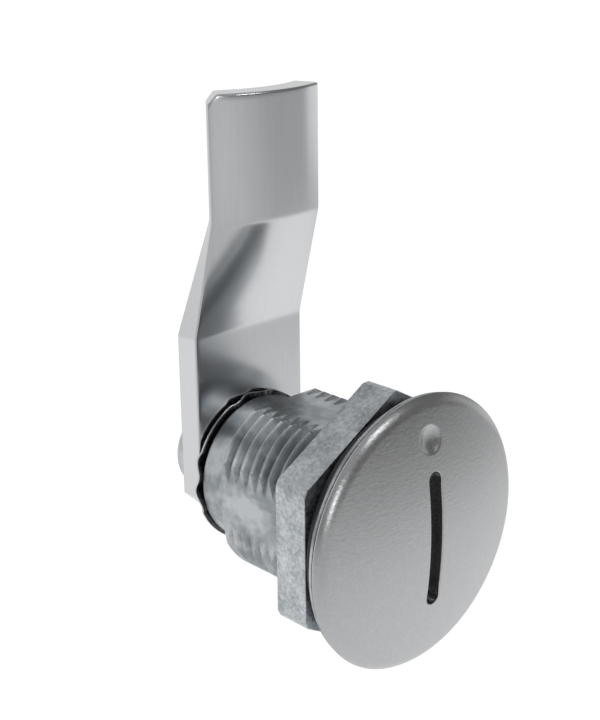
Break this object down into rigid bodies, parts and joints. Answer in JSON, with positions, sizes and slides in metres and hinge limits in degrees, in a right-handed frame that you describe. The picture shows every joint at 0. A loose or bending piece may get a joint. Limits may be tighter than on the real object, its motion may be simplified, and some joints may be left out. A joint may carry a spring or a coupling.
{
  "type": "quarter-turn cam latch",
  "caption": "Quarter-turn cam latch: domed round cover with a coin slot, threaded barrel with flats, hexagon nut, wave washer and a cranked cam with a curved tip.",
  "frame": {"origin": "on the lock axis, in the plane of the flange's underside, where the panel lies", "axes": "+Y along the lock axis from the cover towards the cam, +Z along the closed cam, +X to the right seen from the cover's side"},
  "size_m": [0.0314, 0.0378, 0.0609],
  "materials": {
    "blasted_steel": "fine bead-blasted stainless steel",
    "cast_zinc": "galvanised, softly blotched",
    "galvanised_steel": "galvanised with a fine spangle",
    "satin_steel": "satin tip, smoother web and base",
    "spring_steel": "dark spring steel with bright edges",
    "plated_steel": "bright zinc plating",
    "seal_rubber": "matt black"
  },
  "bodies": {
    "lock_body": {"housing": "cast_zinc", "panel_gasket": "seal_rubber", "mounting_nut": "galvanised_steel", "wave_washer": "spring_steel"},
    "turning_set": {"rotor": "blasted_steel", "rotor_seal": "seal_rubber", "cam": "satin_steel", "cam_washer": "plated_steel", "cam_screw": "plated_steel"}
  },
  "joints": [
    {"name": "rotor_turn", "type": "hinge", "parent": "lock_body", "child": "turning_set", "pos_m": [0, 0, 0], "axis": [0, 1, 0], "range_deg": [0, 90]}
  ]
}
